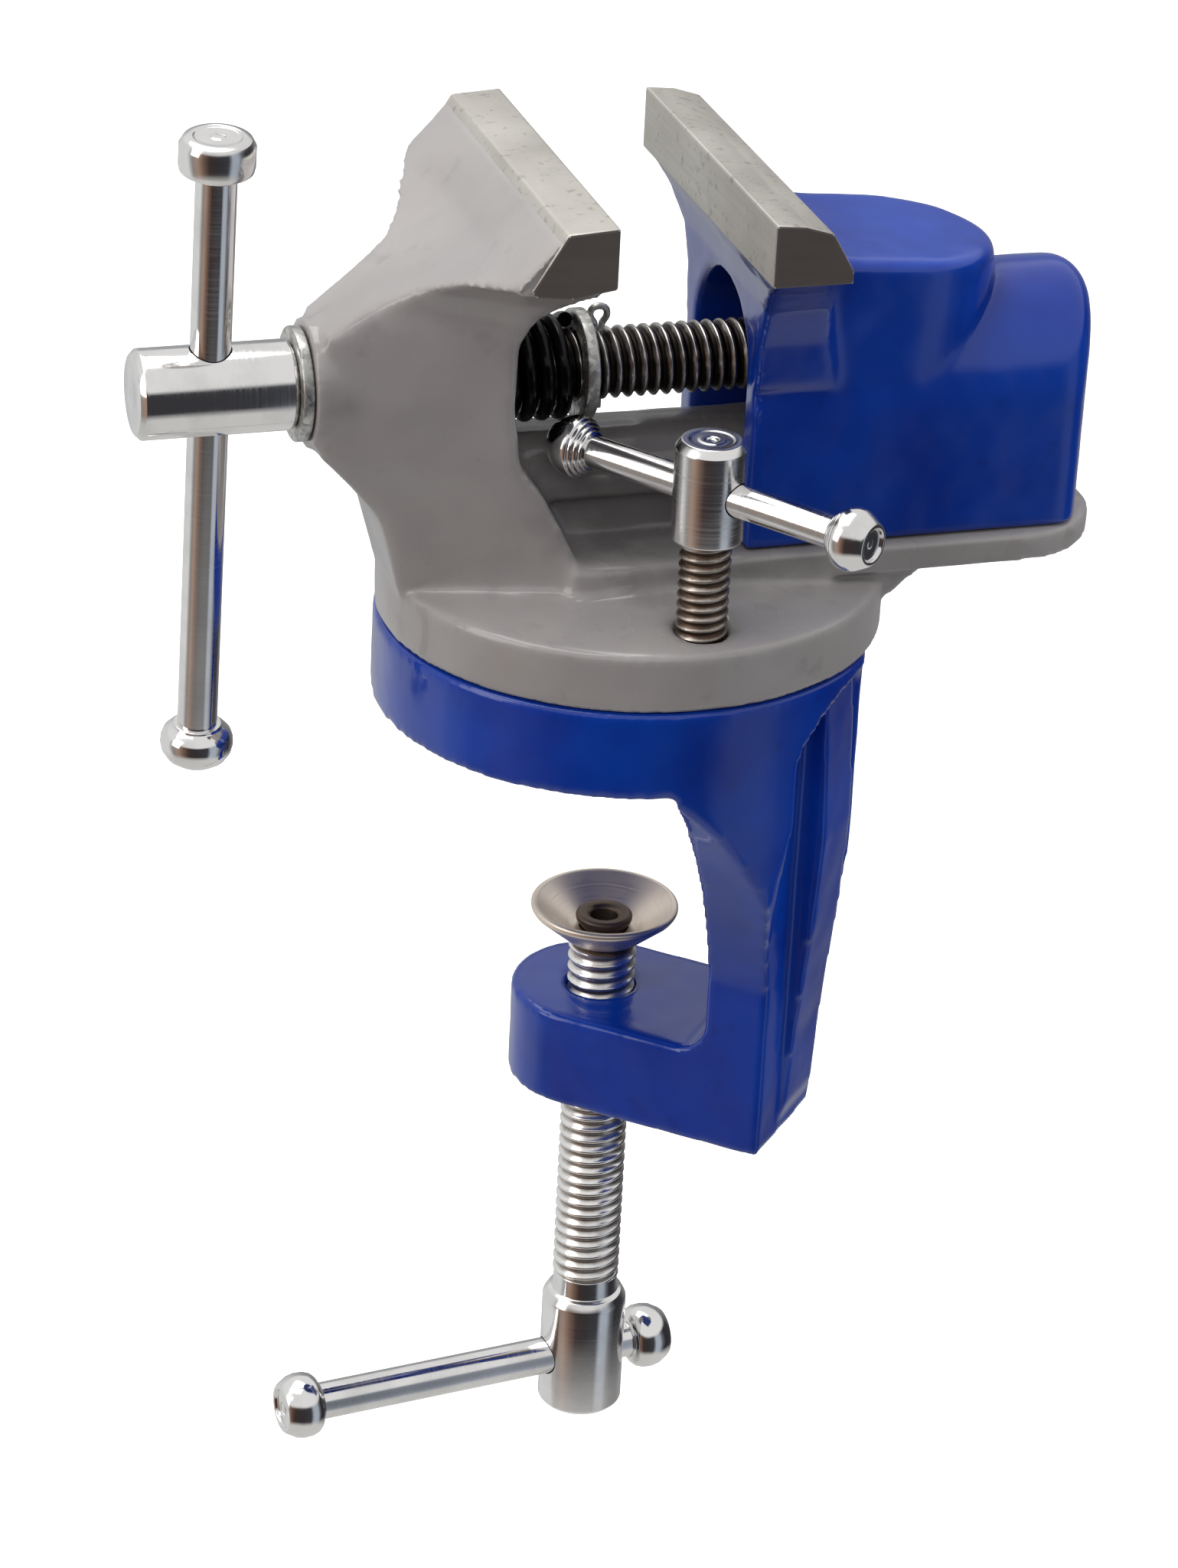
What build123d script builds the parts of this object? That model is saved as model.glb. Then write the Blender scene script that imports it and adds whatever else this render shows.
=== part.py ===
from build123d import *
import os
from math import cos, radians, sin

# A 50 mm clamp-on swivel bench vise, in millimetres.
# Origin: the swivel axis, at the face under the seat ring that rests on the table.
# +X runs along the lead screw from the fixed jaw to the moving jaw, +Z is up.

# ---- driving dimensions ----------------------------------------------------
JAW_WIDTH = 50.0
JAW_TOP = 68.9
SCREW_Z = 43.4                      # height of the lead screw's axis
THREAD_R = 4.35                     # lead and clamp screws
RUNNING = 0.06                      # radial clearance of a running fit

FIXED_FACE_X = -11.35
MOVING_FACE_X = 7.2

SEAT_R, SEAT_TOP = 31.2, 11.1       # seat ring of the clamp frame
SEAT_RECESS_R, SEAT_WEB_Z = 24.0, 5.6
DISC_R, DISC_Z, DISC_RIM_Z = 31.0, 11.2, 18.6
PIVOT_R = 4.0

SLAB_HALF, SLAB_UNDER, SLAB_TOP = 15.5, 20.0, 23.4
SLAB_END_X = 57.4
RIB_HALF, RIB_TOP, RIB_UNDER, RIB_NECK = 6.9, 36.3, 28.6, 5.2
RIB_END_X = 52.0

FRAME_ANGLE = -41.5                 # the clamp frame's column, seen from above, from +X
LUG_OFFSET = -0.85                  # the clamp screw's axis, along the column direction
LUG_R, LUG_TOP, LUG_BOTTOM = 11.4, -41.6, -54.2
COLUMN_IN, COLUMN_OUT = 18.2, 26.3
RIB_OUT_TOP, RIB_OUT_LOW, FRAME_RIB_HALF = 29.6, 27.0, 4.6

LOCK_X, LOCK_Y = 1.2, -24.3
LOCK_THREAD_R, LOCK_HEAD_R = 3.1, 4.3
LOCK_HEAD_LOW, LOCK_HEAD_TOP = 30.4, 43.0
LOCK_BAR_Z, LOCK_BAR_ANGLE = 36.5, -53.8
LOCK_BAR_R = 2.0

LEAD_HEAD_R, LEAD_HEAD_X0, LEAD_HEAD_X1 = 5.4, -61.9, -43.0
LEAD_BAR_X, LEAD_BAR_R, LEAD_BAR_LEAN = -52.75, 2.42, 5.5
LEAD_BAR_UP, LEAD_BAR_DOWN = 32.4, 51.0      # ends of the bar, caps included, from the axis

CLAMP_HEAD_R, CLAMP_HEAD_TOP, CLAMP_HEAD_LOW = 5.5, -87.5, -104.7
CLAMP_BAR_Z, CLAMP_BAR_ANGLE, CLAMP_BAR_R = -97.3, 7.0, 2.42
CLAMP_BAR_LEFT, CLAMP_BAR_RIGHT = 42.6, 11.9
PAD_RIM_Z, PAD_RIM_R, PAD_FOOT_Z, PAD_FOOT_R = -30.2, 9.35, -34.9, 4.7

UP = (Align.CENTER, Align.CENTER, Align.MIN)


# ---- small helpers ---------------------------------------------------------
def rod(radius, start, end):
    """A round bar between two points."""
    run = Vector(*end) - Vector(*start)
    return Plane(origin=start, z_dir=run) * Cylinder(radius, run.length, align=UP)


def turned(profile):
    """A turned piece: an (r, z) outline spun about Z."""
    outline = make_face(Polyline(*[(r, 0, z) for r, z in profile], close=True))
    return revolve(outline, Axis.Z)


def along(piece, start, direction):
    """Lays a piece that stands on +Z along a direction, from a point."""
    return Plane(origin=start, z_dir=Vector(*direction)) * piece


def slab_between(points_xz, half_width):
    """An (x, z) outline, made solid from -half_width to +half_width in Y."""
    outline = make_face(Polyline(*[(x, -half_width, z) for x, z in points_xz], close=True))
    return extrude(outline, amount=2 * half_width, dir=(0, 1, 0))


def stacked(sections):
    """Four-cornered level sections (z, nose x, nose half width, back x, back half width), lofted."""
    wires = [
        Wire(Polyline((xn, -hn, z), (xb, -hb, z), (xb, hb, z), (xn, hn, z), close=True).edges())
        for z, xn, hn, xb, hb in sections
    ]
    return Solid.make_loft(wires, True)


# ---- the clamp frame: seat ring, column and lug ----------------------------
def make_clamp_frame():
    lug_x = LUG_OFFSET
    seat = Cylinder(SEAT_R, SEAT_TOP, align=UP)
    seat -= Cylinder(SEAT_RECESS_R, SEAT_WEB_Z, align=UP)
    seat = fillet(seat.edges().group_by(Axis.Z)[-1], 0.6)

    back = slab_between([(COLUMN_IN, 2), (COLUMN_IN, LUG_TOP - 1), (COLUMN_OUT - 4, LUG_BOTTOM),
                         (COLUMN_OUT, LUG_BOTTOM), (COLUMN_OUT, 2)], LUG_R)
    # Its far back corner is taken off more and more towards the foot.
    bevel = [(z, Wire(Polyline((30, start, z), (COLUMN_OUT + 0.05, start, z), (depth, LUG_R + 0.1, z),
                               (depth, 20, z), (30, 20, z), close=True).edges()))
             for z, start, depth in [(-66, 3.4, 22.6), (-18, 10.9, 26.2)]]
    back -= Solid.make_loft([wire for z, wire in bevel], True)
    arm_end = COLUMN_OUT - 4.5
    arm = Pos((lug_x + arm_end) / 2, 0, LUG_BOTTOM) * Box(arm_end - lug_x, 2 * LUG_R, LUG_TOP - LUG_BOTTOM,
                                                         align=UP)
    arm += Pos(lug_x, 0, LUG_BOTTOM) * Cylinder(LUG_R, LUG_TOP - LUG_BOTTOM, align=UP)
    corner = 4.0
    web = Pos(COLUMN_IN - corner / 2, 0, LUG_TOP) * Box(corner, 2 * LUG_R, corner, align=UP)
    web -= Pos(COLUMN_IN - corner, 0, LUG_TOP + corner) * Rot(90, 0, 0) * Cylinder(corner, 3 * LUG_R)

    # Under the ring the wall sweeps in from both sides to the column's width.
    sweep_low = -31.0
    s = COLUMN_IN
    left = Spline((s, 26.0, 0), (s, 21.2, -6.2), (s, 16.9, -14.0), (s, 13.2, -23.0), (s, LUG_R, sweep_low))
    right = left.mirror(Plane.XZ)
    top = Polyline((s, 26.0, 0), (s, 26.0, 3), (s, -26.0, 3), (s, -26.0, 0))
    foot = Line((s, LUG_R, sweep_low), (s, -LUG_R, sweep_low))
    sweep = extrude(make_face([*left.edges(), *right.edges(), *top.edges(), *foot.edges()]), amount=20,
                    dir=(1, 0, 0))
    sweep &= Pos(0, 0, sweep_low) * Cylinder(SEAT_R, 3 - sweep_low, align=UP)

    # Behind the column the ring is cut back to the column's own back, under an arch.
    arch = Polyline((COLUMN_OUT, 12.2, -80), (COLUMN_OUT, 12.2, 2.0))
    arch += Spline((COLUMN_OUT, 12.2, 2.0), (COLUMN_OUT, 9.0, 6.2), (COLUMN_OUT, 0, 9.6), (COLUMN_OUT, -9.0, 6.2),
                   (COLUMN_OUT, -12.2, 2.0))
    arch += Polyline((COLUMN_OUT, -12.2, 2.0), (COLUMN_OUT, -12.2, -80), (COLUMN_OUT, 12.2, -80))
    relief = extrude(make_face(arch.edges()), amount=20, dir=(1, 0, 0))
    # The edges left beside it run out towards the column's foot.
    relief += Rot(0, 0, 21) * Pos(29.4, 0, -30) * Box(20, 60, 110, align=(Align.MIN, Align.CENTER, Align.MIN))
    relief += slab_between([(29.2, -1), (COLUMN_OUT, -24), (COLUMN_OUT, -80), (40, -80), (40, -1)], 40)

    # The stiffening rib down the back of the column tapers to its foot.
    rib_outline = [(COLUMN_OUT - 1, 9), (28.4, 9), (29.0, 2), (RIB_OUT_TOP, -12), (28.9, -25), (27.5, -40),
                   (RIB_OUT_LOW, -50), (RIB_OUT_LOW - 0.7, -52.4), (COLUMN_OUT - 1, -52.4)]
    rib = slab_between(rib_outline, FRAME_RIB_HALF)

    frame = (seat + sweep - relief) + back + arm + web + rib
    frame -= Pos(0, 0, -5) * Cylinder(PIVOT_R + RUNNING, 30, align=UP)
    frame -= Pos(lug_x, 0, LUG_BOTTOM - 5) * Cylinder(THREAD_R + RUNNING, 30, align=UP)
    return Rot(0, 0, FRAME_ANGLE) * frame


# ---- the fixed casting: disc, slide and front jaw --------------------------
def make_vise_body():
    disc = turned([(0, DISC_Z), (DISC_R, DISC_Z), (DISC_R, DISC_RIM_Z - 0.5), (DISC_R - 0.6, DISC_RIM_Z),
                   (SLAB_HALF + 1, SLAB_UNDER + 0.2), (0, SLAB_UNDER + 0.2)])
    slab_start = -12.0
    slab = Pos((SLAB_END_X + slab_start) / 2, 0, SLAB_UNDER) * Box(SLAB_END_X - slab_start, 2 * SLAB_HALF,
                                                                   SLAB_TOP - SLAB_UNDER, align=UP)
    rear_corners = slab.edges().filter_by(Axis.Z).group_by(Axis.X)[-1]
    slab = fillet(rear_corners, 12.0)
    gusset = slab_between([(20, DISC_Z + 1), (DISC_R - 1.5, DISC_RIM_Z - 2), (DISC_R + 0.5, SLAB_UNDER - 1.5),
                           (DISC_R + 4, SLAB_UNDER + 0.5), (20, SLAB_UNDER + 1)], SLAB_HALF - 1.5)

    rib_start = -20.0
    neck = Pos((rib_start + RIB_END_X) / 2, 0, SLAB_TOP - 1) * Box(RIB_END_X - rib_start, 2 * RIB_NECK,
                                                                  RIB_UNDER - SLAB_TOP + 2, align=UP)
    head_center = RIB_TOP - RIB_HALF
    rail = rod(RIB_HALF, (rib_start, 0, head_center), (RIB_END_X, 0, head_center))
    rail -= Pos(0, 0, RIB_UNDER - 20) * Box(300, 60, 20, align=UP)

    jaw = stacked([
        (17.5, -30.6, 6.0, -9.0, SLAB_HALF),
        (23.0, -32.2, 7.0, -10.5, 14.6),
        (28.0, -33.6, 7.0, -13.0, 13.7),
        (32.0, -36.8, 6.5, -15.2, 13.2),
        (36.0, -40.6, 6.3, -18.0, 13.0),
        (43.4, -41.2, 6.3, -18.9, 13.0),
        (51.0, -40.0, 5.6, -18.3, 13.4),
        (54.8, -34.8, 6.4, -16.6, 14.4),
        (57.5, -30.2, 9.0, -14.2, 17.0),
        (60.0, -26.0, 14.5, -12.5, 21.0),
        (62.4, -21.9, 24.2, -11.9, 24.8),
    ])
    boss = rod(7.8, (-41.5, 0, SCREW_Z), (-30, 0, SCREW_Z))
    body = disc + slab + gusset + neck + rail + jaw + boss
    body -= fixed_lip_blank()
    body -= rod(THREAD_R + RUNNING, (-70, 0, SCREW_Z), (0, 0, SCREW_Z))
    body -= rod(7.6, (-24.5, 0, SCREW_Z), (0, 0, SCREW_Z))
    body -= Pos(LOCK_X, LOCK_Y, 0) * Cylinder(LOCK_THREAD_R + RUNNING, 40, align=UP)
    body -= Cylinder(PIVOT_R, 17, align=UP)
    return body


def fixed_lip_blank():
    return slab_between([(FIXED_FACE_X, 62.3), (FIXED_FACE_X, JAW_TOP + 0.8), (-17.6, JAW_TOP + 0.4),
                         (-21.8, 62.9), (-21.0, 62.0), (-16.7, 61.5)], JAW_WIDTH / 2)


def make_fixed_jaw_lip():
    return fixed_lip_blank()


# ---- the moving jaw --------------------------------------------------------
def moving_lip_blank():
    x = MOVING_FACE_X
    return slab_between([(x, 61.2), (x, JAW_TOP), (x + 3.6, JAW_TOP - 0.35), (x + 7.0, JAW_TOP - 1.4),
                         (x + 9.8, 62.7), (x + 9.8, 61.2)], JAW_WIDTH / 2)


def make_moving_jaw_lip():
    return moving_lip_blank()


JAW_BODY_HALF, JAW_ARCH_Z = 13.8, 39.0
JAW_BODY_X0, JAW_BODY_X1, JAW_FOOT_Z = 10.0, 56.0, SLAB_TOP + 0.15


def make_moving_jaw():
    length = JAW_BODY_X1 - JAW_BODY_X0
    middle = (JAW_BODY_X0 + JAW_BODY_X1) / 2
    body = Pos(middle, 0, JAW_FOOT_Z) * Box(length, 2 * JAW_BODY_HALF, JAW_ARCH_Z - JAW_FOOT_Z, align=UP)
    body += rod(JAW_BODY_HALF, (JAW_BODY_X0, 0, JAW_ARCH_Z), (JAW_BODY_X1, 0, JAW_ARCH_Z))
    # The back is bowed, and the crowned top is a D seen from above.
    bow = 24.0
    body &= Pos(JAW_BODY_X1 - bow, 0, 0) * Cylinder(bow, 90, align=UP) + Box(60, 60, 90, align=UP)
    rear_rim = [e for e in body.edges() if e.center().X > 49 and e.center().Z > JAW_FOOT_Z + 3]
    body = fillet(rear_rim, 3.0)
    crown = Pos(JAW_BODY_X0, 0, 40) * Box(20.5, 26.4, 19.2, align=(Align.MIN, Align.CENTER, Align.MIN))
    crown += Pos(30.5, 0, 40) * Cylinder(13.2, 19.2, align=UP)
    crown = fillet(crown.edges().group_by(Axis.Z)[-1].filter_by(lambda e: e.center().X > JAW_BODY_X0 + 1), 1.6)
    crown = Pos(20, 0, 59.2) * Rot(0, 4.5, 0) * Pos(-20, 0, -59.2) * crown
    crown &= Pos(JAW_BODY_X0, 0, 0) * Box(80, 80, 120, align=(Align.MIN, Align.CENTER, Align.MIN))
    flare = Solid.make_loft([
        Wire(Polyline((x0, -half, z), (x1, -half, z), (x1, half, z), (x0, half, z), close=True).edges())
        for z, half, x0, x1 in [(44, 13.7, 10.0, 20), (50, 14.4, 10.0, 19), (55, 16.4, 9.9, 18.2),
                                (58.5, 20.0, 9.0, 17.4), (61.3, 24.8, 7.6, 16.8)]], True)
    saddle = slab_between([(12, 55), (12, 61.3), (16.8, 61.3), (17.5, 60.4), (18.6, 59.8), (20.2, 59.4),
                           (22.6, 59.05), (25.2, 58.7), (25.2, 55)], 11.8)
    jaw = body + crown + flare + saddle

    # It straddles the slide: a slot with the rail's own outline, and feet that hook under the rail.
    gap = 0.4
    far = 100
    slot = Box(2 * far, 2 * (RIB_NECK + gap), RIB_UNDER, align=UP)
    slot += Pos(0, 0, RIB_UNDER - gap) * Box(2 * far, 2 * (RIB_HALF + gap), RIB_TOP - RIB_HALF - RIB_UNDER + gap,
                                            align=UP)
    slot += rod(RIB_HALF + gap, (-far, 0, RIB_TOP - RIB_HALF), (far, 0, RIB_TOP - RIB_HALF))
    hollow_end, hollow_half = 28.0, 9.7
    front_hollow = rod(hollow_half, (0, 0, SCREW_Z + 0.8), (hollow_end, 0, SCREW_Z + 0.8))
    front_hollow += Pos(0, 0, RIB_UNDER + 1) * Box(hollow_end, 2 * hollow_half, SCREW_Z - RIB_UNDER - 0.2,
                                                  align=(Align.MIN, Align.CENTER, Align.MIN))
    jaw -= slot
    jaw -= front_hollow
    jaw -= moving_lip_blank()
    jaw -= rod(THREAD_R + RUNNING, (0, 0, SCREW_Z), (80, 0, SCREW_Z))
    return jaw


# ---- the lead screw and what rides on it -----------------------------------
WASHER_FACE_X = -41.6
SPRING_X0, SPRING_X1 = -24.2, -8.5


def make_lead_screw():
    head = rod(LEAD_HEAD_R, (LEAD_HEAD_X0, 0, SCREW_Z), (LEAD_HEAD_X1, 0, SCREW_Z))
    head = chamfer(head.edges().group_by(Axis.X)[0], 0.6)
    shaft = rod(THREAD_R, (LEAD_HEAD_X1 - 1, 0, SCREW_Z), (54.5, 0, SCREW_Z))
    screw = head + shaft
    screw -= lead_bar_core(LEAD_BAR_R + RUNNING, 60, 60)
    screw -= rod(0.9 + 0.02, (PIN_X, 0, SCREW_Z - 10), (PIN_X, 0, SCREW_Z + 10))
    return screw


def lead_bar_direction():
    lean = radians(LEAD_BAR_LEAN)
    return Vector(0, -sin(lean), cos(lean))


def lead_bar_point(distance):
    return Vector(LEAD_BAR_X, 0, SCREW_Z) + lead_bar_direction() * distance


def lead_bar_core(radius, up, down):
    return rod(radius, tuple(lead_bar_point(-down)), tuple(lead_bar_point(up)))


def make_front_washer():
    washer = rod(6.85, (LEAD_HEAD_X1 + 0.02, 0, SCREW_Z), (WASHER_FACE_X - 0.05, 0, SCREW_Z))
    return washer - rod(THREAD_R + 0.05, (-60, 0, SCREW_Z), (-30, 0, SCREW_Z))


def make_jaw_spring():
    spring = rod(6.45, (SPRING_X0, 0, SCREW_Z), (SPRING_X1, 0, SCREW_Z))
    return spring - rod(THREAD_R + 0.1, (-60, 0, SCREW_Z), (0, 0, SCREW_Z))


def make_spring_washer():
    washer = rod(6.75, (SPRING_X1 + 0.02, 0, SCREW_Z), (SPRING_X1 + 1.7, 0, SCREW_Z))
    return washer - rod(THREAD_R + 0.05, (-60, 0, SCREW_Z), (0, 0, SCREW_Z))


PIN_X = SPRING_X1 + 1.7 + 1.3


def make_split_pin():
    pin = rod(0.9, (PIN_X, 0, SCREW_Z - 6.0), (PIN_X, 0, SCREW_Z + 5.6))
    return pin + Pos(PIN_X, 0, SCREW_Z + 6.2) * Sphere(1.3)


# ---- tommy bars: a round bar, with a knob pressed on each end --------------
BUTTON = [(0, 0), (3.3, 0), (4.1, 0.7), (4.45, 1.2), (4.45, 3.9), (3.7, 4.9), (0, 4.9)]
MUSHROOM = [(0, 0), (2.9, 0), (3.6, 0.7), (4.4, 2.0), (4.45, 3.0), (4.1, 4.2), (3.2, 5.1), (1.8, 5.6), (0, 5.6)]
BALL = [(0, 0), (2.6, 0), (3.3, 0.6), (3.85, 1.9), (3.85, 3.1), (3.3, 4.5), (2.4, 5.6), (0, 5.6)]


def knob(profile, scale, bar_radius, seat_depth):
    """A turned knob, bored to take the end of its bar, standing on its inner face."""
    turned_knob = turned([(r * scale, z * scale) for r, z in profile])
    return turned_knob - Pos(0, 0, -1) * Cylinder(bar_radius, seat_depth + 1, align=UP)


def bar_set(center, direction, back, front, radius, back_profile, front_profile, scale):
    """The bar from -back to +front of its centre, knobs included. Returns bar, back knob, front knob."""
    unit = direction.normalized()
    back_height = back_profile[-1][1] * scale
    front_height = front_profile[-1][1] * scale
    seat = 0.7
    bar_start = center - unit * (back - back_height * (1 - seat))
    bar_end = center + unit * (front - front_height * (1 - seat))
    bar = rod(radius, tuple(bar_start), tuple(bar_end))
    back_face = center - unit * (back - back_height)
    front_face = center + unit * (front - front_height)
    back_knob = along(knob(back_profile, scale, radius, back_height * seat), tuple(back_face),
                      tuple(unit * -1))
    front_knob = along(knob(front_profile, scale, radius, front_height * seat), tuple(front_face),
                       tuple(unit))
    return bar, back_knob, front_knob


# ---- the lock screw --------------------------------------------------------
def make_lock_screw():
    screw = turned([(0, DISC_Z + 0.1), (LOCK_THREAD_R - 0.8, DISC_Z + 0.1), (LOCK_THREAD_R, DISC_Z + 0.9),
                    (LOCK_THREAD_R, LOCK_HEAD_LOW), (LOCK_HEAD_R - 0.3, LOCK_HEAD_LOW),
                    (LOCK_HEAD_R, LOCK_HEAD_LOW + 0.4), (LOCK_HEAD_R, LOCK_HEAD_TOP - 0.9),
                    (LOCK_HEAD_R - 0.8, LOCK_HEAD_TOP), (0, LOCK_HEAD_TOP)])
    screw = Pos(LOCK_X, LOCK_Y, 0) * screw
    turn = radians(LOCK_BAR_ANGLE)
    reach = Vector(cos(turn), sin(turn), 0) * 20
    center = Vector(LOCK_X, LOCK_Y, LOCK_BAR_Z)
    return screw - rod(LOCK_BAR_R + RUNNING, tuple(center - reach), tuple(center + reach))


# ---- the table clamp screw -------------------------------------------------
def lug_axis():
    turn = radians(FRAME_ANGLE)
    return Vector(LUG_OFFSET * cos(turn), LUG_OFFSET * sin(turn), 0)


STUD_R, STUD_TOP = 3.0, PAD_FOOT_Z + 3.2


def make_clamp_screw():
    profile = [(0, CLAMP_HEAD_LOW), (CLAMP_HEAD_R - 0.5, CLAMP_HEAD_LOW), (CLAMP_HEAD_R, CLAMP_HEAD_LOW + 0.5),
               (CLAMP_HEAD_R, CLAMP_HEAD_TOP - 0.7), (CLAMP_HEAD_R - 0.7, CLAMP_HEAD_TOP),
               (THREAD_R - 0.2, CLAMP_HEAD_TOP), (THREAD_R - 0.2, CLAMP_HEAD_TOP + 2.2),
               (THREAD_R, CLAMP_HEAD_TOP + 2.4), (THREAD_R, PAD_FOOT_Z - 1.0), (THREAD_R - 0.8, PAD_FOOT_Z - 0.1),
               (STUD_R, PAD_FOOT_Z - 0.1), (STUD_R, PAD_FOOT_Z + 2.0), (STUD_R + 0.6, PAD_FOOT_Z + 2.2),
               (STUD_R + 0.6, STUD_TOP - 0.4), (STUD_R + 0.2, STUD_TOP), (0, STUD_TOP)]
    axis = lug_axis()
    screw = Pos(axis.X, axis.Y, 0) * turned(profile)
    turn = radians(CLAMP_BAR_ANGLE)
    reach = Vector(cos(turn), sin(turn), 0) * 20
    center = Vector(axis.X, axis.Y, CLAMP_BAR_Z)
    return screw - rod(CLAMP_BAR_R + RUNNING, tuple(center - reach), tuple(center + reach))


def make_clamp_pad():
    wall = 1.1
    profile = [(STUD_R + RUNNING, PAD_FOOT_Z), (PAD_FOOT_R, PAD_FOOT_Z), (PAD_FOOT_R + 0.6, PAD_FOOT_Z + 0.6),
               (PAD_RIM_R, PAD_RIM_Z - 0.9), (PAD_RIM_R, PAD_RIM_Z), (PAD_RIM_R - wall, PAD_RIM_Z),
               (PAD_FOOT_R - 0.3, PAD_FOOT_Z + 2.0), (STUD_R + RUNNING, PAD_FOOT_Z + 1.9)]
    axis = lug_axis()
    return Pos(axis.X, axis.Y, 0) * turned(profile)


# ---- the swivel's pivot bolt -----------------------------------------------
def make_pivot_bolt():
    head = Pos(0, 0, 0.6) * extrude(RegularPolygon(6.5, 6), amount=3.8)
    return head + Pos(0, 0, 2) * Cylinder(PIVOT_R, 14.8, align=UP)


def make_pivot_washer():
    washer = Pos(0, 0, 4.42) * Cylinder(8.0, SEAT_WEB_Z - 4.42 - 0.06, align=UP)
    return washer - Cylinder(PIVOT_R + 0.05, 20, align=UP)


# ---- the whole vise --------------------------------------------------------
def make_parts():
    lock_turn, clamp_turn = radians(LOCK_BAR_ANGLE), radians(CLAMP_BAR_ANGLE)
    lead = bar_set(Vector(LEAD_BAR_X, 0, SCREW_Z), lead_bar_direction(), LEAD_BAR_DOWN, LEAD_BAR_UP,
                   LEAD_BAR_R, MUSHROOM, BUTTON, 1.0)
    lock = bar_set(Vector(LOCK_X, LOCK_Y, LOCK_BAR_Z), Vector(cos(lock_turn), sin(lock_turn), 0), 22.4, 23.2,
                   LOCK_BAR_R, BALL, BALL, 0.98)
    axis = lug_axis()
    clamp = bar_set(Vector(axis.X, axis.Y, CLAMP_BAR_Z), Vector(cos(clamp_turn), sin(clamp_turn), 0),
                    CLAMP_BAR_LEFT, CLAMP_BAR_RIGHT, CLAMP_BAR_R, MUSHROOM, MUSHROOM, 0.98)
    return {
        "clamp_frame": make_clamp_frame(),
        "vise_body": make_vise_body(),
        "fixed_jaw_lip": make_fixed_jaw_lip(),
        "pivot_bolt": make_pivot_bolt(),
        "pivot_washer": make_pivot_washer(),
        "moving_jaw": make_moving_jaw(),
        "moving_jaw_lip": make_moving_jaw_lip(),
        "lead_screw": make_lead_screw(),
        "front_washer": make_front_washer(),
        "jaw_spring": make_jaw_spring(),
        "spring_washer": make_spring_washer(),
        "split_pin": make_split_pin(),
        "lead_bar": lead[0],
        "lead_bar_knob": lead[1],
        "lead_bar_button": lead[2],
        "lock_screw": make_lock_screw(),
        "lock_bar": lock[0],
        "lock_bar_knob_left": lock[1],
        "lock_bar_knob_right": lock[2],
        "clamp_screw": make_clamp_screw(),
        "clamp_bar": clamp[0],
        "clamp_bar_knob_left": clamp[1],
        "clamp_bar_knob_right": clamp[2],
        "clamp_pad": make_clamp_pad(),
    }


os.makedirs("parts", exist_ok=True)
for name, piece in make_parts().items():
    export_step(piece, f"parts/{name}.step")
    print(name, round(piece.volume, 1))
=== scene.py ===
# %% [markdown]
# # A small clamp-on bench vise
# Two enamelled castings slide on each other, a third clamps them to a table, and everything
# that turns is bright turned steel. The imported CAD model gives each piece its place, so this
# lesson only gives the pieces their real shape and finish, and lets each ride on its CAD body.

import math

import bmesh
import bpy
from mathutils import Matrix, Vector


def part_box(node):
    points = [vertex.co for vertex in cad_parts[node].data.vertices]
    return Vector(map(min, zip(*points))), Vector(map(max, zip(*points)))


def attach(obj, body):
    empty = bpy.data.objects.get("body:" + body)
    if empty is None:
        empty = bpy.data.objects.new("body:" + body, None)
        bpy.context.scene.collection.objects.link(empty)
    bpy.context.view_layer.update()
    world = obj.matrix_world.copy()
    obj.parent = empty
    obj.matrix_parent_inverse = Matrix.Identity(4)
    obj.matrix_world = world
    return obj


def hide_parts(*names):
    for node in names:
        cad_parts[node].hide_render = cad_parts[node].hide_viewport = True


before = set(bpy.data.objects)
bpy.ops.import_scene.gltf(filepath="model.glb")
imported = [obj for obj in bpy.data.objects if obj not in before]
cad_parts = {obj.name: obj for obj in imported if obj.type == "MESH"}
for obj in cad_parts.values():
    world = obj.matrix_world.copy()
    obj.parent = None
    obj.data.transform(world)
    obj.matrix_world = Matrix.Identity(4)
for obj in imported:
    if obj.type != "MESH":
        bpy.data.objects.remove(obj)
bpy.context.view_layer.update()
scene = bpy.context.scene
MM = 0.001

# %% [markdown]
# ## Camera
# The vise is seen from above its left side, from about 60 cm away with a long lens. A long
# lens keeps the two jaws nearly parallel; moving a short lens closer would splay them apart.

# %% Camera
camera = bpy.data.objects.new("camera", bpy.data.cameras.new("camera"))
scene.collection.objects.link(camera)
scene.camera = camera
camera.data.sensor_width = 36.0
camera.data.lens = 111.4
camera.data.clip_start, camera.data.clip_end = 0.01, 50.0
backward = -Vector((0.2786, 0.8501, -0.4469)).normalized()
sideways = Vector((0.0909, 0.4399, 0.8935)).cross(backward).normalized()
upward = backward.cross(sideways)
turn = Matrix((sideways, upward, backward)).transposed().to_4x4()
camera.matrix_world = Matrix.Translation((-0.1722, -0.5141, 0.2572)) @ turn
print("camera looks down", round(math.degrees(math.asin(backward.z)), 1), "degrees")

# %% [markdown]
# ## Light and floor
# Enamel and bright steel show what stands around them, so the light is a few large soft boxes:
# a wide one overhead, one on the left, and weaker ones in front and low on the right. These
# last two are kept out of the reflections. The room's own light is the fill. A single lamp
# would leave hard spots. The floor is a plain pale sheet well below the clamp screw, as in a
# studio. It stays out of the reflections and throws no light back up, so that the steel keeps
# its dark lines and the castings keep their dark undersides.


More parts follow.
